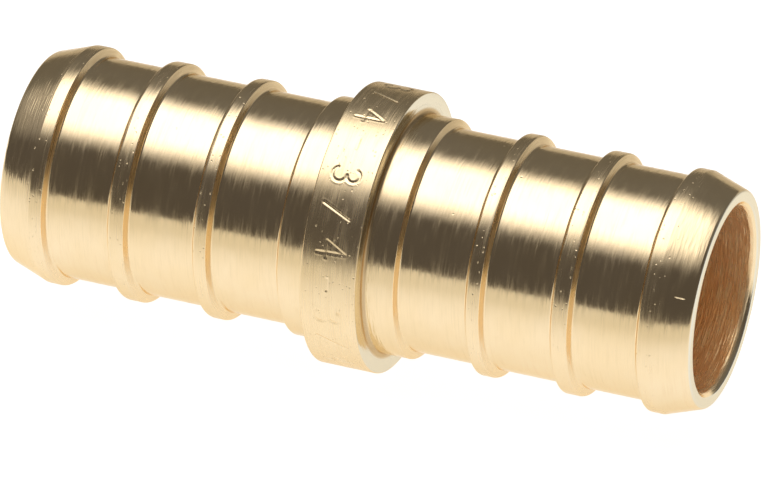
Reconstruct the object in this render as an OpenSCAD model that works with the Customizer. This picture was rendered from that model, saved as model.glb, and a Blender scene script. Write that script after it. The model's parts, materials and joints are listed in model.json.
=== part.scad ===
// Insert coupling for flexible water tube: one turned brass body, lying along X, centred on its stop collar.
// All sizes are in millimetres.

/* [Body] */
// Length from one open end to the other
overall_l = 51.5; // [42:0.5:80]
// Diameter over the crests of the ribs, which the tube grips
crest_d = 17.3; // [12:0.1:34]
// Wall between the waterway and the plain stretches of the outside
wall = 1.4; // [1:0.05:3]

/* [Ribs] */
// Height of a rib above the plain stretches
rib_h = 0.65; // [0.3:0.05:1.2]
// Distance from one rib's inner crest edge to the next one's
rib_pitch = 6.25; // [4:0.05:8]
// Crest width of the rib nearest the collar
inner_crest_w = 0.95; // [0.5:0.05:2]
// Crest width of the middle rib
middle_crest_w = 1.15; // [0.5:0.05:2]
// Crest width of the rib at the nose
nose_crest_w = 0.9; // [0.5:0.05:2]
// Slope of the ribs' flanks, from the axis
flank_angle = 71; // [45:1:85]
// Radius where a flank meets the plain stretch
foot_radius = 0.15; // [0.05:0.01:0.25]
// Bevel on each crest edge
crest_bevel = 0.06; // [0.02:0.01:0.15]

/* [Collar] */
// Width of the stop collar
collar_w = 4.1; // [2:0.1:8]
// Height of the collar above the rib crests
collar_h = 1.45; // [0.8:0.05:4]
// Bevel on each rim of the collar
collar_bevel = 0.1; // [0.05:0.01:0.5]
// Length of the raised land on each side of the collar
land_l = 2.25; // [1:0.05:4]
// How far the lands lie below the rib crests
land_drop = 0.05; // [0.02:0.01:0.2]

/* [Ends] */
// Length of the tapered nose, from its rib's crest to the end face
nose_l = 2.65; // [1.5:0.05:3.8]
// Angle of the tapered nose from the axis
nose_angle = 19; // [8:1:22]
// Radius between the tapered nose and the end face
nose_radius = 0.3; // [0.1:0.05:0.5]
// Bevel inside each mouth of the waterway
mouth_bevel = 0.38; // [0.1:0.02:0.8]

/* [Hidden] */
$fn = 128;

end_x = overall_l / 2;
crest_r = crest_d / 2;
root_r = crest_r - rib_h;
bore_r = root_r - wall;
land_r = crest_r - land_drop;
collar_r = crest_r + collar_h;
collar_x = collar_w / 2;
land_x = collar_x + land_l;

// Inner crest edge of each rib, counted in from the end
nose_rib_x = end_x - nose_l - nose_crest_w;
middle_rib_x = nose_rib_x - rib_pitch;
inner_rib_x = middle_rib_x - rib_pitch;

// Centre of the round between taper and end face, which touches both
nose_tip_r = crest_r - nose_l * tan(nose_angle);
round_x = end_x - nose_radius;
round_r = nose_tip_r + nose_radius * (tan(nose_angle) - 1 / cos(nose_angle));

// How far the foot radius reaches along the plain stretch, beyond the foot of a flank
foot_reach = foot_radius * tan(flank_angle / 2);

// Straight steps that each small radius is turned in
radius_steps = 4;

// Points [distance along the axis, radius] on an arc, between two angles from the axis
function arc(x, r, radius, start, stop) = [
    for (i = [0 : radius_steps])
        let (angle = start + (stop - start) * i / radius_steps)
            [x + radius * cos(angle), r + radius * sin(angle)]
];

// Length along the axis of the flank between the plain stretch and the bevel of a crest of radius r
function flank_run(r) = (r - crest_bevel - root_r) / tan(flank_angle);

// Radius at the foot of the flank that rises to a crest edge at x
function rising_foot(x, r) =
    arc(x - flank_run(r) - foot_reach, root_r + foot_radius, foot_radius, -90, flank_angle - 90);

// Radius at the foot of the flank that falls from a crest edge at x
function falling_foot(x, r) =
    arc(x + flank_run(r) + foot_reach, root_r + foot_radius, foot_radius, -90 - flank_angle, -90);

// A whole rib, foot to foot, with its inner crest edge at x
function rib(x, w) = concat(
    rising_foot(x, crest_r),
    [
        [x, crest_r - crest_bevel],
        [x + crest_bevel, crest_r],
        [x + w - crest_bevel, crest_r],
        [x + w, crest_r - crest_bevel]
    ],
    falling_foot(x + w, crest_r)
);

// Half of the collar and the land beside it
collar_outline = concat(
    [
        [collar_x - collar_bevel, collar_r],
        [collar_x, collar_r - collar_bevel],
        [collar_x, land_r],
        [land_x - crest_bevel, land_r],
        [land_x, land_r - crest_bevel]
    ],
    falling_foot(land_x, land_r)
);

// The last rib runs out into the tapered nose, its round and the bevelled mouth
nose_outline = concat(
    rising_foot(nose_rib_x, crest_r),
    [
        [nose_rib_x, crest_r - crest_bevel],
        [nose_rib_x + crest_bevel, crest_r],
        [nose_rib_x + nose_crest_w, crest_r]
    ],
    arc(round_x, round_r, nose_radius, 90 - nose_angle, 0),
    [
        [end_x, bore_r + mouth_bevel],
        [end_x - mouth_bevel, bore_r]
    ]
);

// Outside of one half, from the collar to the mouth
half_outline = concat(
    collar_outline,
    rib(inner_rib_x, inner_crest_w),
    rib(middle_rib_x, middle_crest_w),
    nose_outline
);

// The same points on the other half, in the opposite order
function mirrored(points) = [for (i = [len(points) - 1 : -1 : 0]) [-points[i][0], points[i][1]]];

// The whole fitting is one turned piece: collar, lands, three ribs and a tapered nose on each side
module coupling_body() {
    color("goldenrod")
        rotate([0, 90, 0])
            rotate_extrude()
                mirror([1, -1])
                    polygon(concat(half_outline, mirrored(half_outline)));
}

coupling_body();
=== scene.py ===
"""Looks for the insert coupling: one turned brass body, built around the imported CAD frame."""
import json
import math

import bpy
import numpy as np
from mathutils import Matrix, Vector


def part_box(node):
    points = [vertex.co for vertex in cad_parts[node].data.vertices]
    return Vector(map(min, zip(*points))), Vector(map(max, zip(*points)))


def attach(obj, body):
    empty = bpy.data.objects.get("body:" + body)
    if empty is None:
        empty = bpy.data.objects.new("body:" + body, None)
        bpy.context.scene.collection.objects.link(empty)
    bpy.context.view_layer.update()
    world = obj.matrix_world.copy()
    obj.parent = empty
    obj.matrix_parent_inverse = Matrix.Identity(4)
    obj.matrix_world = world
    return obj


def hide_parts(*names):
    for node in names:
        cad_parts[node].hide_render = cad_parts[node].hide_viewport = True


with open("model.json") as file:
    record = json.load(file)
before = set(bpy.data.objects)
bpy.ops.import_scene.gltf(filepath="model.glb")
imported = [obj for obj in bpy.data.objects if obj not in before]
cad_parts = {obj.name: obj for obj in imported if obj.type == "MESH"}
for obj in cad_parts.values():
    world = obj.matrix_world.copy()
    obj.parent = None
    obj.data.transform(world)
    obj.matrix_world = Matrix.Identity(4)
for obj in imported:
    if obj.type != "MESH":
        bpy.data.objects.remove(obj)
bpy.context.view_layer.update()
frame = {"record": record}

MM = 0.001

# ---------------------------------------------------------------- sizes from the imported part
mounts = {m["name"]: m for m in frame["record"]["mounts"]}
low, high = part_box("coupling_body")
LIP = 0.01 * MM                     # metal pushed up beside a stamped stroke
END_X = high.x
COLLAR_R = high.z - LIP             # the lips reach the full size
COLLAR_X = mounts["tube_stop_right"]["pos_m"][0]
CREST_R = mounts["tube_end_right"]["dims"]["r_mm"] * MM
BORE_R = mounts["waterway"]["dims"]["r_mm"] * MM
MOUTH_BEVEL = END_X - mounts["waterway"]["dims"]["length_mm"] * MM / 2

# ---------------------------------------------------------------- sizes of the turned details
RIB_H = 0.65 * MM
ROOT_R = CREST_R - RIB_H
RIB_PITCH = 6.25 * MM
INNER_CREST = 0.95 * MM
MIDDLE_CREST = 1.15 * MM
NOSE_CREST = 0.9 * MM
FLANK_ANGLE = math.radians(71)
LAND_R = CREST_R - 0.05 * MM
LAND_X = COLLAR_X + 2.25 * MM
NOSE_X = END_X - 2.65 * MM
NOSE_ANGLE = math.radians(19)

NEAR_BEVEL_W = 0.12 * MM            # worn edge of a crest, on the collar's side
NEAR_BEVEL_H = 0.02 * MM
FAR_BEVEL_W = 0.16 * MM             # worn edge of a crest, on the end's side
FAR_BEVEL_H = 0.05 * MM

EDGE_R = 0.1 * MM                   # crest and land edges
RIM_R = 0.1 * MM                    # collar rims
COLLAR_FOOT_R = 0.3 * MM            # foot of the collar's faces
FOOT_R = 0.22 * MM                  # foot of each flank
TAPER_R = 0.2 * MM                  # between the last crest and the taper
NOSE_R = 0.3 * MM                   # between the taper and the end face
FACE_EDGE_R = 0.1 * MM              # between the end face and the mouth's bevel
MOUTH_R = 0.3 * MM                  # between the mouth's bevel and the waterway

# ---------------------------------------------------------------- mesh resolution
COARSE = 256                        # steps round the axis
FINE = 1024                         # steps round the collar, for its marks
COLLAR_STEPS = 46                   # steps across the collar
LONGEST_SIDE = 0.8 * MM

# ---------------------------------------------------------------- marks stamped round the collar
SLOTS = 24                          # evenly spaced characters
GLYPH_H = 2.05 * MM
GLYPH_W = 1.2 * MM
STROKE = 0.125 * MM                 # half the width of a stroke
STROKE_DEPTH = 0.05 * MM
STROKE_FLOOR = 0.25                 # share of the half width that is flat
LIP_AT = 1.45                       # the lip's middle, in half widths from the stroke's
LIP_SPREAD = 0.4
SLOT_SHIFT = 0.05 * MM              # how far a character strays from its slot's middle
SLOT_TURN = math.radians(2.0)
SLOT_DEPTH = (0.75, 1.05)

# ---------------------------------------------------------------- line that a tool left on the collar
LINE_IN = 0.8 * MM                  # from the left rim
LINE_DRIFT = 0.12 * MM
LINE_WAVES = 2.1
LINE_DEPTH = 0.02 * MM
LINE_WIDTH = 0.06 * MM
LINE_FADES_IN = (3.3, 3.6)          # angles round the axis, in radians
LINE_FADES_OUT = (5.2, 5.6)

# ---------------------------------------------------------------- nick on the right nose
NICK_ANGLE = math.radians(31)       # above the horizontal, on the front
NICK_FACING = (0, -math.cos(NICK_ANGLE), math.sin(NICK_ANGLE))
NICK_SIDEWAYS = (0, math.sin(NICK_ANGLE), math.cos(NICK_ANGLE))
NICK_X = NOSE_X + 1.6 * MM
NICK_WIDTH = 0.05 * MM
NICK_SLIMNESS = 0.11                # width over length
NICK_SLANT = 0.3


def rounded(corners, steps=4):
    """The outline through corners (x, r, radius), each turned into an arc that touches both its sides.
    An arc starts radius * tan(half the turn) before its corner, round a centre square to that side."""
    flat = [np.array(c[:2]) for c in corners]
    points = [flat[0]]
    for before, here, after, corner in zip(flat, flat[1:], flat[2:], corners[1:]):
        u = (here - before) / np.linalg.norm(here - before)
        v = (after - here) / np.linalg.norm(after - here)
        turn = math.atan2(u[0] * v[1] - u[1] * v[0], u @ v)
        start = here - u * corner[2] * math.tan(abs(turn) / 2)
        arm = -math.copysign(corner[2], turn) * np.array([-u[1], u[0]])
        a = turn * np.arange(steps + 1)[:, None] / steps
        swung = np.concatenate([arm[0] * np.cos(a) - arm[1] * np.sin(a),
                                arm[0] * np.sin(a) + arm[1] * np.cos(a)], 1)
        points.extend(start - arm + swung)
    return np.array(points + [flat[-1]])


def split_long(points, longest):
    """The same outline, with every side over the longest length cut into equal steps."""
    out = [points[:1]]
    for a, b in zip(points, points[1:]):
        n = max(1, math.ceil(np.linalg.norm(b - a) / longest))
        out.append(a + (b - a) * (np.arange(1, n + 1) / n)[:, None])
    return np.concatenate(out)


def near_side_of_rib(x, run):
    """Corners of a rib's flank and worn edge on the collar's side; its crest starts at x."""
    return [
        (x - run, ROOT_R, FOOT_R),
        (x, CREST_R - NEAR_BEVEL_H, EDGE_R),
        (x + NEAR_BEVEL_W, CREST_R, EDGE_R),
    ]


def half_section():
    """Corners (x, r, radius) of one half of the section, from the collar's rim to the waterway."""
    run = RIB_H / math.tan(FLANK_ANGLE)
    nose_rib = NOSE_X - NOSE_CREST
    ribs = ((nose_rib - 2 * RIB_PITCH, INNER_CREST), (nose_rib - RIB_PITCH, MIDDLE_CREST))
    corners = [
        (COLLAR_X - 2 * RIM_R, COLLAR_R, 0),
        (COLLAR_X, COLLAR_R, RIM_R),
        (COLLAR_X, LAND_R, COLLAR_FOOT_R),
        (LAND_X, LAND_R, EDGE_R),
        (LAND_X + run, ROOT_R, FOOT_R),
    ]
    for x, w in ribs:
        corners += near_side_of_rib(x, run) + [
            (x + w - FAR_BEVEL_W, CREST_R, EDGE_R),
            (x + w, CREST_R - FAR_BEVEL_H, EDGE_R),
            (x + w + run, ROOT_R, FOOT_R),
        ]
    return corners + near_side_of_rib(nose_rib, run) + [
        (NOSE_X, CREST_R, TAPER_R),
        (END_X, CREST_R - (END_X - NOSE_X) * math.tan(NOSE_ANGLE), NOSE_R),
        (END_X, BORE_R + MOUTH_BEVEL, FACE_EDGE_R),
        (END_X - MOUTH_BEVEL, BORE_R, MOUTH_R),
        (0.0, BORE_R, 0),
    ]


def arc_stroke(centre, radius, start, stop, steps=10):
    """Points (u, v) on a circle from one angle to another, in degrees."""
    a = np.radians(np.linspace(start, stop, steps + 1))
    return np.stack([centre[0] + radius * np.cos(a), centre[1] + radius * np.sin(a)], 1)


def glyph_strokes():
    """The strokes of a 3, a slash, a 4 and a dash, in a box GLYPH_W wide and GLYPH_H high, centred on 0."""
    w, h = GLYPH_W / 2, GLYPH_H / 2
    top_r, foot_r = 0.47 * h, 0.53 * h
    three = [arc_stroke((0, h - top_r), top_r, 155, -90), arc_stroke((0, foot_r - h), foot_r, 90, -155)]
    slash = [np.array([(-0.8 * w, -h), (0.8 * w, h)])]
    four = [np.array([(0.45 * w, -h), (0.45 * w, h), (-w, -0.35 * h), (w, -0.35 * h)])]
    dash = [np.array([(-0.75 * w, 0), (0.75 * w, 0)])]
    return [three, slash, four, dash]


def distance_to(stroke, u, v):
    """Distance from each point (u, v) to the nearest side of a stroke.
    A point's foot on a side is clamped to that side's ends."""
    nearest = np.full(u.shape, 1.0)
    for (au, av), (bu, bv) in zip(stroke, stroke[1:]):
        du, dv = bu - au, bv - av
        t = np.clip(((u - au) * du + (v - av) * dv) / (du * du + dv * dv), 0, 1)
        nearest = np.minimum(nearest, np.hypot(u - au - t * du, v - av - t * dv))
    return nearest


def smooth(edge0, edge1, x):
    """0 below edge0, 1 above edge1, and 3t^2 - 2t^3 between them."""
    t = np.clip((x - edge0) / (edge1 - edge0), 0, 1)
    return t * t * (3 - 2 * t)


def stamped(x, angle):
    """How far the collar's surface lies off its cylinder at x and angle. Each slot holds one character,
    shifted and turned a little, whose strokes have a flat floor, sloped sides and a raised lip."""
    rng = np.random.default_rng(7)
    shift = rng.normal(0, SLOT_SHIFT, (2, SLOTS))
    turn = rng.normal(0, SLOT_TURN, SLOTS)
    depth = rng.uniform(*SLOT_DEPTH, SLOTS)
    slot = np.floor(angle / (2 * math.pi) * SLOTS).astype(int) % SLOTS
    u0 = (angle - (slot + 0.5) * 2 * math.pi / SLOTS) * COLLAR_R - shift[0][slot]
    v0 = x - shift[1][slot]
    u = u0 * np.cos(turn[slot]) + v0 * np.sin(turn[slot])
    v = -u0 * np.sin(turn[slot]) + v0 * np.cos(turn[slot])
    off = np.zeros_like(x)
    glyphs = glyph_strokes()
    for kind, strokes in enumerate(glyphs):
        d = np.min([distance_to(s, u, v) for s in strokes], 0)
        groove = -STROKE_DEPTH * (1 - smooth(STROKE_FLOOR * STROKE, STROKE, d))
        lip = LIP * np.exp(-((d - LIP_AT * STROKE) / (LIP_SPREAD * STROKE)) ** 2)
        off += np.where(slot % len(glyphs) == kind, (groove + lip) * depth[slot], 0)
    return off


def tool_line(x, angle):
    """A shallow line that a tool left round part of the collar, drifting slightly sideways as it goes.
    It is a bell curve across, and it fades in and out over two spans of the angle."""
    fade = smooth(*LINE_FADES_IN, angle) * (1 - smooth(*LINE_FADES_OUT, angle))
    line = x + COLLAR_X - LINE_IN - LINE_DRIFT * np.sin(LINE_WAVES * angle)
    return -LINE_DEPTH * fade * np.exp(-(line / LINE_WIDTH) ** 2)


def ring_faces(starts, counts):
    """Faces between each ring and the next, the last joining the first.
    Equal rings give quads. A fine ring against a coarse one gives a fan of triangles to each step."""
    quads, tris = [], []
    for k in range(len(starts)):
        m = (k + 1) % len(starts)
        a, b, na, nb = starts[k], starts[m], counts[k], counts[m]
        if na == nb:
            j = np.arange(na)
            n = (j + 1) % na
            quads.append(np.stack([a + j, a + n, b + n, b + j], 1))
            continue
        flip = na > nb
        few, many = (b, a) if flip else (a, b)
        nf, nm = min(na, nb), max(na, nb)
        step = nm // nf
        j = np.arange(nm)
        near = few + ((j + step // 2) // step) % nf
        fan = np.stack([near, many + (j + 1) % nm, many + j], 1)
        i = np.arange(nf)
        mid = many + i * step + step // 2
        gap = np.stack([few + i, few + (i + 1) % nf, mid], 1)
        both = np.concatenate([fan, gap])
        tris.append(both[:, ::-1] if flip else both)
    return np.concatenate(quads), np.concatenate(tris)


def mesh_object(name, verts, quads, tris, material):
    """A smooth-shaded mesh object at the origin, from whole arrays of points and faces."""
    mesh = bpy.data.meshes.new(name)
    loops = np.concatenate([quads.ravel(), tris.ravel()])
    sizes = np.concatenate([np.full(len(quads), 4), np.full(len(tris), 3)])
    loop_starts = np.concatenate([[0], np.cumsum(sizes)[:-1]])
    mesh.vertices.add(len(verts))
    mesh.vertices.foreach_set("co", verts.astype(np.float32).ravel())
    mesh.loops.add(len(loops))
    mesh.loops.foreach_set("vertex_index", loops.astype(np.int32))
    mesh.polygons.add(len(sizes))
    mesh.polygons.foreach_set("loop_start", loop_starts.astype(np.int32))
    mesh.update(calc_edges=True)
    mesh.validate()
    mesh.polygons.foreach_set("use_smooth", np.ones(len(sizes), bool))
    mesh.materials.append(material)
    obj = bpy.data.objects.new(name, mesh)
    bpy.context.scene.collection.objects.link(obj)
    return obj


def coupling_body(material):
    """The turned body: its section carried round X, finely round the collar and coarsely elsewhere.
    A point is (x, r cos a, r sin a), where r is the section's radius plus what is stamped there."""
    half = split_long(rounded(half_section()), LONGEST_SIDE)
    collar_x = np.linspace(-1, 1, COLLAR_STEPS + 1) * (COLLAR_X - 2 * RIM_R)
    collar = np.stack([collar_x, np.full(COLLAR_STEPS + 1, COLLAR_R)], 1)
    mirrored = half[::-1] * (-1, 1)
    section = np.concatenate([collar, half[1:], mirrored[1:-1]])
    counts = np.where(np.arange(len(section)) <= COLLAR_STEPS, FINE, COARSE)
    starts = np.concatenate([[0], np.cumsum(counts)[:-1]])
    ring = np.repeat(np.arange(len(section)), counts)
    angle = (np.arange(counts.sum()) - starts[ring]) / counts[ring] * 2 * math.pi
    x, r = section[ring].T
    on_collar = ring <= COLLAR_STEPS
    r = r + np.where(on_collar, stamped(x, angle) + tool_line(x, angle), 0)
    verts = np.stack([x, r * np.cos(angle), r * np.sin(angle)], 1)
    quads, tris = ring_faces(starts, counts)
    return mesh_object("turned_body", verts, quads, tris, material)


# ---------------------------------------------------------------- brass: colours, shares and depths
BRASS_DEEP = (0.92, 0.715, 0.435, 1)
BRASS_PALE = (0.94, 0.745, 0.48, 1)
STAINED = (0.86, 0.65, 0.38, 1)
STREAKED = (0.80, 0.60, 0.34, 1)
# painted shade: brown darkening in the corner at the collar's foot
CORNER_SHADE_BROWN = (0.42, 0.27, 0.12, 1)
FACES_PAINTED_PALE = (0.80, 0.75, 0.62, 1)   # faces cut square to the axis, painted paler to stand for their grazing reflection
# painted light in the waterway: a coppery tone for light bounced round inside it, and golden glints on its
# rings
WALL_BOUNCE_COPPERY = (0.94, 0.60, 0.30, 1)
WALL_GLINT_GOLDEN = (1.0, 0.90, 0.58, 1)
GRAZING_TINT = (0.95, 0.84, 0.66, 1)

STAIN_SHARE = 0.3
STREAK_SHARE = 0.16
# how strongly the painted corner shade shows
CORNER_SHADE_SHARE = 0.6
# shares of the painted golden glints, from the coarse bands and the fine streaks
WALL_GLINT_BANDS = 0.25
WALL_GLINT_STREAKS = 0.6
WALL_DULLNESS = 0.42                # how far the waterway's wall is from bare metal

POLISHED = 0.13
STREAK_ROUGHNESS = 0.13
ZONE_ROUGHNESS = {"Waterway": 0.09, "Crests": 0.05, "Collar": 0.1, "Corner": 0.15, "Flanks": 0.14}

BUMP_DEPTH = 0.03 * MM
FINE_RINGS = 0.44                   # this and the next five are shares of the bump's depth
FINE_RINGS_ON_WALL = 0.6
COARSE_RINGS_ON_WALL = 0.5
COARSE_RINGS_ON_COLLAR = 0.2
KNOCK_DEPTH = 0.5
DING_DEPTH = 0.5
SPECK_BEND = 0.16 * MM              # how far noise moves the edge of a knock or ding

# ---------------------------------------------------------------- paper under the coupling
PAPER_GREY = (0.28, 0.28, 0.28, 1)
PAPER_PALE = (0.32, 0.32, 0.32, 1)
PAPER_SEEN = (0.93, 0.93, 0.93, 1)
# painted glow on the paper, seen only in reflections: brightest near the object, dimmer to the front and back
GLOW_NEAR = (0.86, 0.875, 0.89, 1)
GLOW_FRONT = (0.60, 0.58, 0.50, 1)
GLOW_BACK = (0.36, 0.34, 0.30, 1)
FRONT_FADE = (-0.055, -0.008)       # y, from the front's glow to the near one
BACK_FADE = (0.028, 0.075)          # y, from the near glow to the back's
FLOOR_HALF = 1.5

# ---------------------------------------------------------------- studio
ROOM_FRONT = (0.088, 0.081, 0.076, 1)
ROOM_BACK = (0.15, 0.147, 0.142, 1)
ROOM_CHANGE = (-0.2, 0.5)           # y of a direction, from the front's colour to the back's
BACKDROP = (0.9, 0.9, 0.9, 1)
BLACK = (0, 0, 0, 1)
BOX_FADE = (0.35, 1.1)              # from full to dark, as shares of the way from middle to end
CAMERA_AZIMUTH = 21.03
CAMERA_ELEVATION = 33.07
CAMERA_DISTANCE = 0.515
CAMERA_LENS = 340.0
CAMERA_RIGHT = 0.6 * MM
CAMERA_DOWN = 1.27 * MM


class Nodes:
    """Adds nodes to a tree in rows, and links them by socket."""

    def __init__(self, tree):
        self.tree = tree
        self.count = 0

    def put(self, value, socket):
        """Links a value into a socket, or sets it as the socket's constant."""
        if isinstance(value, bpy.types.NodeSocket):
            self.tree.links.new(value, socket)
        else:
            socket.default_value = value

    def add(self, kind, inputs=None, **settings):
        node = self.tree.nodes.new(kind)
        node.location = (180 * (self.count % 12), -260 * (self.count // 12))
        self.count += 1
        for name, value in settings.items():
            setattr(node, name, value)
        for name, value in (inputs or {}).items():
            self.put(value, node.inputs[name])
        return node

    def math(self, operation, a, b=0.0, clamp=False):
        return self.add("ShaderNodeMath", {0: a, 1: b}, operation=operation, use_clamp=clamp).outputs[0]

    def plus(self, a, b):
        return self.math("ADD", a, b)

    def minus(self, a, b, clamp=False):
        return self.math("SUBTRACT", a, b, clamp)

    def times(self, first, *others):
        for other in others:
            first = self.math("MULTIPLY", first, other)
        return first

    def vector_math(self, operation, a, b):
        return self.add("ShaderNodeVectorMath", {0: a, 1: b}, operation=operation)

    def ramp(self, value, low, high):
        """0 below low, 1 above high, smooth between."""
        node = self.add("ShaderNodeMapRange", {"Value": value, "From Min": low, "From Max": high},
                        interpolation_type="SMOOTHSTEP")
        return node.outputs["Result"]

    def fall(self, value, low, high):
        """1 below low, 0 above high, smooth between."""
        return self.minus(1.0, self.ramp(value, low, high))

    def noise(self, vector, scale, detail=2.0, roughness=0.5):
        node = self.add("ShaderNodeTexNoise", {"Vector": vector, "Scale": scale, "Detail": detail,
                                               "Roughness": roughness})
        return node.outputs["Fac"]

    def split(self, vector):
        node = self.add("ShaderNodeSeparateXYZ", {0: vector})
        return [node.outputs[i] for i in range(3)]

    def join(self, x, y, z):
        return self.add("ShaderNodeCombineXYZ", {0: x, 1: y, 2: z}).outputs[0]

    def length(self, a, b):
        """The square root of a^2 + b^2."""
        return self.math("SQRT", self.plus(self.times(a, a), self.times(b, b)))

    def group(self, tree, place, values=None):
        """A placed node group, reading the position, with its own values."""
        node = self.add("ShaderNodeGroup", node_tree=tree)
        self.put(place, node.inputs["Position"])
        for name, value in (values or {}).items():
            node.inputs[name].default_value = value
        return node

    def mix(self, factor, a, b):
        node = self.add("ShaderNodeMix", {0: factor, 6: a, 7: b}, data_type="RGBA")
        return node.outputs[2]


def new_group(name, inputs, outputs):
    """An empty shader node group with named sockets."""
    tree = bpy.data.node_groups.new(name, "ShaderNodeTree")
    for socket, default in inputs.items():
        kind = "NodeSocketVector" if default is None else "NodeSocketFloat"
        item = tree.interface.new_socket(socket, in_out="INPUT", socket_type=kind)
        if default is not None:
            item.default_value = default
    for socket in outputs:
        tree.interface.new_socket(socket, in_out="OUTPUT", socket_type="NodeSocketFloat")
    nodes = Nodes(tree)
    return tree, nodes, nodes.add("NodeGroupInput"), nodes.add("NodeGroupOutput")


def new_material(name):
    """A material with its Principled shader."""
    material = bpy.data.materials.new(name)
    material.use_nodes = True
    return material, material.node_tree.nodes["Principled BSDF"]


def lathe_group():
    """Rings that a cutting tool leaves, from noise that changes fast along the section and more slowly
    round the axis. Streaks are the rougher rings, which fade in and out as they go round."""
    tree, n, source, out = new_group(
        "lathe_rings", {"Position": None, "Rings per mm": 6.0, "Fading round": 5.0, "Strokes round": 8.0},
        ["Height", "Streaks"])
    x, y, z = n.split(source.outputs["Position"])
    radius = n.length(y, z)
    off_axis = n.math("MAXIMUM", radius, 0.1 * MM)
    cos_a, sin_a = n.math("DIVIDE", y, off_axis), n.math("DIVIDE", z, off_axis)
    rings = n.times(n.plus(x, radius), 1 / MM, source.outputs["Rings per mm"])
    strokes_round, fading_round = source.outputs["Strokes round"], source.outputs["Fading round"]
    strokes = n.join(n.times(rings, 0.75), n.times(cos_a, strokes_round), n.times(sin_a, strokes_round))
    patches = n.join(n.times(rings, 0.25), n.times(cos_a, fading_round), n.times(sin_a, fading_round))
    apart = n.vector_math("ADD", n.join(rings, cos_a, sin_a), (31.0, 7.0, 13.0)).outputs[0]
    rough_rings = n.ramp(n.noise(apart, 1.0, 2.0, 0.6), 0.35, 0.65)
    shown = n.ramp(n.noise(patches, 1.0, 1.0), 0.3, 0.7)
    n.put(n.noise(strokes, 1.0, 1.0, 0.5), out.inputs["Height"])
    n.put(n.times(rough_rings, shown), out.inputs["Streaks"])
    return tree


def zones_group():
    """Where a point lies, by its distance from the axis and from the middle: the waterway's wall, the ribs'
    tops, the collar's outside, the corner at its foot, the ribs' flanks, and the faces square to the axis."""
    tree, n, source, out = new_group(
        "turned_zones", {"Position": None}, ["Waterway", "Crests", "Collar", "Corner", "Flanks", "Faces"])
    x, y, z = n.split(source.outputs["Position"])
    radius = n.length(y, z)
    off_middle = n.math("ABSOLUTE", x)

    over_crest = n.ramp(radius, CREST_R - 0.2 * MM, CREST_R - 0.07 * MM)
    over_ribs = n.ramp(radius, CREST_R + 0.04 * MM, CREST_R + 0.1 * MM)
    past_land = n.ramp(off_middle, LAND_X, LAND_X + 0.3 * MM)

    outside = n.ramp(radius, LAND_R - 0.3 * MM, LAND_R - 0.1 * MM)
    near_foot = n.fall(radius, LAND_R + 0.25 * MM, LAND_R + 1.1 * MM)
    near_collar = n.fall(off_middle, COLLAR_X + 0.15 * MM, COLLAR_X + 0.35 * MM)

    over_root = n.ramp(radius, ROOT_R + 0.03 * MM, ROOT_R + 0.12 * MM)
    off_nose = n.fall(off_middle, NOSE_X - 0.3 * MM, NOSE_X)

    at_end = n.ramp(off_middle, END_X - 0.12 * MM, END_X - 0.02 * MM)
    to_collar_face = n.ramp(off_middle, COLLAR_X - 0.02 * MM, COLLAR_X)
    past_collar_face = n.fall(off_middle, COLLAR_X + 0.02 * MM, COLLAR_X + 0.1 * MM)
    over_foot = n.ramp(radius, LAND_R + 0.25 * MM, LAND_R + 0.5 * MM)

    zones = {
        "Waterway": n.fall(radius, BORE_R + 0.05 * MM, BORE_R + 0.2 * MM),
        "Crests": n.times(n.minus(over_crest, over_ribs), past_land),
        "Collar": n.ramp(radius, COLLAR_R - 0.2 * MM, COLLAR_R - 0.08 * MM),
        "Corner": n.times(near_foot, near_collar, outside),
        "Flanks": n.times(over_root, off_nose, n.minus(1.0, over_crest)),
        "Faces": n.math("MAXIMUM", at_end, n.times(to_collar_face, past_collar_face, over_foot)),
    }
    for name, zone in zones.items():
        n.put(zone, out.inputs[name])
    return tree


def nick_group():
    """One knock mark drawn out along the axis. Its middle is at Along, on the side that Facing points to;
    a point's way round from it is its share of Sideways, the direction square to Facing."""
    tree, n, source, out = new_group(
        "nick", {"Position": None, "Facing": None, "Sideways": None, "Along": 0.0, "Width": NICK_WIDTH},
        ["Depth"])
    place = source.outputs["Position"]
    x = n.split(place)[0]
    way_round = n.vector_math("DOT_PRODUCT", place, source.outputs["Sideways"]).outputs["Value"]
    ahead = n.vector_math("DOT_PRODUCT", place, source.outputs["Facing"]).outputs["Value"]
    shift = n.times(n.minus(x, source.outputs["Along"]), NICK_SLIMNESS)
    away = n.length(shift, n.plus(way_round, n.times(shift, NICK_SLANT)))
    depth = n.fall(n.math("DIVIDE", away, source.outputs["Width"]), 0.2, 1.0)
    near_side = n.math("GREATER_THAN", ahead, BORE_R + 0.5 * MM)
    n.put(n.times(depth, near_side), out.inputs["Depth"])
    return tree


def specks_group():
    """Small pits and dings: a cell's middle, out to Size, in the share of the cells that Amount gives.
    Noise bends the cells, so that no speck is round."""
    tree, n, source, out = new_group(
        "specks", {"Position": None, "Cells per mm": 1.5, "Size": 0.2, "Amount": 0.35}, ["Mask"])
    place = source.outputs["Position"]
    noise = n.add("ShaderNodeTexNoise", {"Vector": place, "Scale": 5 / MM, "Detail": 1.0})
    bend = n.vector_math("MULTIPLY", noise.outputs["Color"], (SPECK_BEND,) * 3).outputs[0]
    bent = n.vector_math("ADD", place, bend)
    cells = n.add("ShaderNodeTexVoronoi",
                  {"Vector": bent.outputs[0], "Scale": n.times(source.outputs["Cells per mm"], 1 / MM)},
                  feature="F1")
    pick = n.add("ShaderNodeSeparateColor", {0: cells.outputs["Color"]}).outputs[0]
    chosen = n.math("LESS_THAN", pick, source.outputs["Amount"])
    out_from_middle = n.math("DIVIDE", cells.outputs["Distance"], source.outputs["Size"])
    near = n.minus(1.0, out_from_middle, clamp=True)
    n.put(n.times(n.ramp(near, 0.0, 0.6), chosen), out.inputs["Mask"])
    return tree


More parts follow.
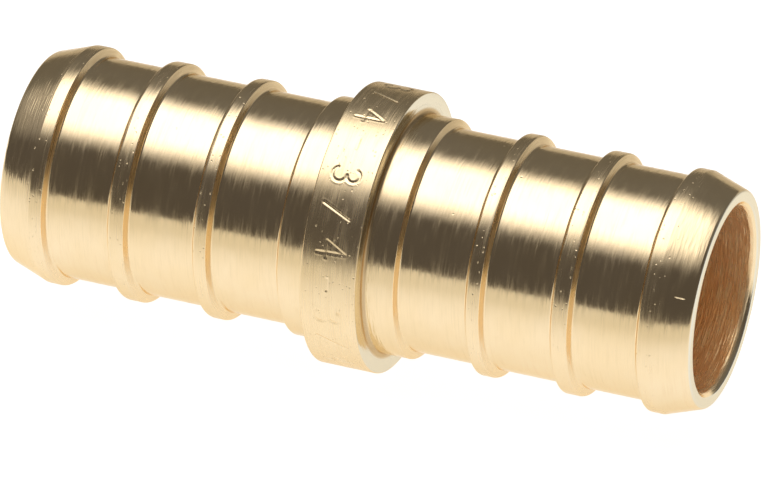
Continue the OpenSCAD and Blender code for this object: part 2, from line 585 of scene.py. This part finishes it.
def turned_brass():
    """Bright brass off the lathe: rings that fade in and out, knocked crests, small dings, a faint warm
    cloud, painted shade in the corner at the collar's foot, square faces painted paler for their grazing
    reflection, and a coarser wall in the waterway, painted coppery for light bounced round inside it, with
    painted golden glints on its rings."""
    material, shader = new_material("turned_brass")
    n = Nodes(material.node_tree)
    place = n.add("ShaderNodeTexCoord").outputs["Object"]
    lathe, specks = lathe_group(), specks_group()
    rings = n.group(lathe, place, {"Rings per mm": 10.0, "Fading round": 5.0, "Strokes round": 6.0})
    coarse = n.group(lathe, place, {"Rings per mm": 4.0, "Fading round": 3.0, "Strokes round": 4.0})
    knocks = n.group(specks, place, {"Cells per mm": 4.0, "Size": 0.32, "Amount": 0.2})
    dings = n.group(specks, place, {"Cells per mm": 0.8, "Size": 0.1, "Amount": 0.1})
    nick = n.group(nick_group(), place, {
        "Facing": NICK_FACING, "Sideways": NICK_SIDEWAYS, "Along": NICK_X, "Width": NICK_WIDTH})
    zones = n.group(zones_group(), place).outputs
    streaks, bands = rings.outputs["Streaks"], coarse.outputs["Streaks"]

    cloud = n.ramp(n.noise(place, 0.16 / MM, 3.0, 0.6), 0.3, 0.7)
    stain = n.ramp(n.noise(place, 0.42 / MM, 3.0, 0.6), 0.62, 0.8)
    outside = n.mix(cloud, BRASS_DEEP, BRASS_PALE)
    outside = n.mix(n.times(stain, STAIN_SHARE), outside, STAINED)
    outside = n.mix(n.times(streaks, STREAK_SHARE), outside, STREAKED)
    # painted shade: brown in the corner at the collar's foot
    outside = n.mix(n.times(zones["Corner"], CORNER_SHADE_SHARE), outside, CORNER_SHADE_BROWN)
    # painted reflection: the faces square to the axis are paler, as their grazing reflection looks
    outside = n.mix(zones["Faces"], outside, FACES_PAINTED_PALE)
    # painted light on the waterway's wall: a coppery tone for bounced light, with golden glints on its rings
    lit_rings = n.plus(n.times(bands, WALL_GLINT_BANDS), n.times(streaks, WALL_GLINT_STREAKS))
    inside = n.mix(lit_rings, WALL_BOUNCE_COPPERY, WALL_GLINT_GOLDEN)

    rough = n.plus(POLISHED, n.times(streaks, STREAK_ROUGHNESS))
    for zone, extra in ZONE_ROUGHNESS.items():
        rough = n.plus(rough, n.times(zones[zone], extra))

    fine_depth = n.plus(FINE_RINGS, n.times(zones["Waterway"], FINE_RINGS_ON_WALL))
    coarse_depth = n.plus(n.times(zones["Waterway"], COARSE_RINGS_ON_WALL),
                          n.times(zones["Collar"], COARSE_RINGS_ON_COLLAR))
    height = n.plus(n.times(rings.outputs["Height"], fine_depth),
                    n.times(coarse.outputs["Height"], coarse_depth))
    knocked = n.times(knocks.outputs["Mask"], n.plus(zones["Crests"], zones["Collar"]))
    height = n.minus(height, n.times(knocked, KNOCK_DEPTH))
    height = n.minus(height, n.times(dings.outputs["Mask"], DING_DEPTH))
    height = n.minus(height, nick.outputs["Depth"])
    bump = n.add("ShaderNodeBump", {"Height": height, "Distance": BUMP_DEPTH, "Strength": 1.0})

    n.put(n.mix(zones["Waterway"], outside, inside), shader.inputs["Base Color"])
    n.put(rough, shader.inputs["Roughness"])
    n.put(n.minus(1.0, n.times(zones["Waterway"], WALL_DULLNESS)), shader.inputs["Metallic"])
    n.put(GRAZING_TINT, shader.inputs["Specular Tint"])
    n.put(bump.outputs[0], shader.inputs["Normal"])
    return material


def paper_painted_glow():
    """Matt white paper with a faint grain and a painted glow, standing for a lit table under it, that weakens
    away from the object, slowly to the front and sooner to the back; reflections show the glow. To the camera
    it is pale all over."""
    material, shader = new_material("paper_painted_glow")
    n = Nodes(material.node_tree)
    place = n.add("ShaderNodeTexCoord").outputs["Object"]
    y = n.split(place)[1]
    # painted pool of light on the paper, which only reflections see
    front = n.mix(n.ramp(y, *FRONT_FADE), GLOW_FRONT, GLOW_NEAR)
    glow = n.mix(n.ramp(y, *BACK_FADE), front, GLOW_BACK)
    seen = n.mix(n.add("ShaderNodeLightPath").outputs["Is Camera Ray"], glow, PAPER_SEEN)
    n.put(n.mix(n.noise(place, 0.9 / MM), PAPER_GREY, PAPER_PALE), shader.inputs["Base Color"])
    n.put(seen, shader.inputs["Emission Color"])
    n.put(1.0, shader.inputs["Emission Strength"])
    n.put(0.9, shader.inputs["Roughness"])
    n.put(0.0, shader.inputs["Specular IOR Level"])
    return material


def view_axes(azimuth, elevation):
    """The camera's right, up and backward directions, for a camera with no roll."""
    a, e = math.radians(azimuth), math.radians(elevation)
    back = Vector((math.sin(a) * math.cos(e), -math.cos(a) * math.cos(e), math.sin(e)))
    right = Vector((math.cos(a), math.sin(a), 0))
    return right, back.cross(right), back


def add_camera():
    """A long lens that looks at a point just off the object's middle."""
    right, up, back = view_axes(CAMERA_AZIMUTH, CAMERA_ELEVATION)
    camera = bpy.data.cameras.new("camera")
    camera.sensor_width = 36.0
    camera.lens = CAMERA_LENS
    camera.clip_start = 0.01
    camera.clip_end = 20.0
    obj = bpy.data.objects.new("camera", camera)
    bpy.context.scene.collection.objects.link(obj)
    spot = back * CAMERA_DISTANCE + right * CAMERA_RIGHT - up * CAMERA_DOWN
    turn = Matrix((right, up, back)).transposed().to_4x4()
    obj.matrix_world = Matrix.Translation(spot) @ turn
    bpy.context.scene.camera = obj


def add_floor():
    """One flat square under the object."""
    corners = np.array([(-1, -1), (1, -1), (1, 1), (-1, 1)]) * FLOOR_HALF
    verts = np.concatenate([corners, np.full((4, 1), low.z)], 1)
    floor = mesh_object("floor", verts, np.array([[0, 1, 2, 3]]), np.zeros((0, 3), int), paper_painted_glow())


def add_softbox(name, centre, size, strength, stops):
    """A rectangular area light facing down. Across its width its glow follows the stops, from 0 in the
    middle to 1 at the edges. Along its length it fades smoothly towards both ends."""
    light = bpy.data.lights.new(name, "AREA")
    light.shape = "RECTANGLE"
    light.size, light.size_y = size
    light.energy = math.pi * size[0] * size[1]
    light.use_nodes = True
    glow = light.node_tree.nodes["Emission"]
    n = Nodes(light.node_tree)
    spot = n.split(n.add("ShaderNodeNewGeometry").outputs["Parametric"])
    along, across = (n.math("ABSOLUTE", n.minus(n.times(way, 2.0), 1.0)) for way in spot[:2])
    ramp = n.add("ShaderNodeValToRGB", {0: across})
    elements = ramp.color_ramp.elements
    while len(elements) < len(stops):
        elements.new(0.5)
    for element, (position, share) in zip(elements, stops):
        element.position = position
        element.color = (share, share, share, 1)
    n.put(n.mix(n.fall(along, *BOX_FADE), BLACK, ramp.outputs[0]), glow.inputs["Color"])
    n.put(strength, glow.inputs["Strength"])
    obj = bpy.data.objects.new(name, light)
    bpy.context.scene.collection.objects.link(obj)
    obj.location = centre


def add_world():
    """A dim room for reflections, a little lighter at the back, and a pale backdrop past the floor."""
    world = bpy.data.worlds.new("studio")
    world.use_nodes = True
    n = Nodes(world.node_tree)
    y = n.split(n.add("ShaderNodeTexCoord").outputs["Generated"])[1]
    room = n.mix(n.ramp(y, *ROOM_CHANGE), ROOM_FRONT, ROOM_BACK)
    seen = n.mix(n.add("ShaderNodeLightPath").outputs["Is Camera Ray"], room, BACKDROP)
    n.put(seen, world.node_tree.nodes["Background"].inputs["Color"])
    bpy.context.scene.world = world


add_camera()
add_floor()
add_world()
add_softbox("overhead", centre=(-0.15, 0.035, 0.6), size=(1.2, 1.2), strength=2.1, stops=[
    (0.0, 1.0),
    (0.28, 1.0),
    (0.40, 0.76),
    (0.52, 0.48),
    (0.63, 0.22),
    (0.74, 0.06),
    (0.85, 0.0),
])
add_softbox("side", centre=(-1.0, 0.05, 0.62), size=(0.8, 1.1), strength=0.2, stops=[
    (0.0, 1.0),
    (0.5, 1.0),
    (1.0, 0.0),
])

body = coupling_body(turned_brass())
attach(body, "root")
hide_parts("coupling_body")

bpy.context.scene.view_settings.view_transform = "Standard"
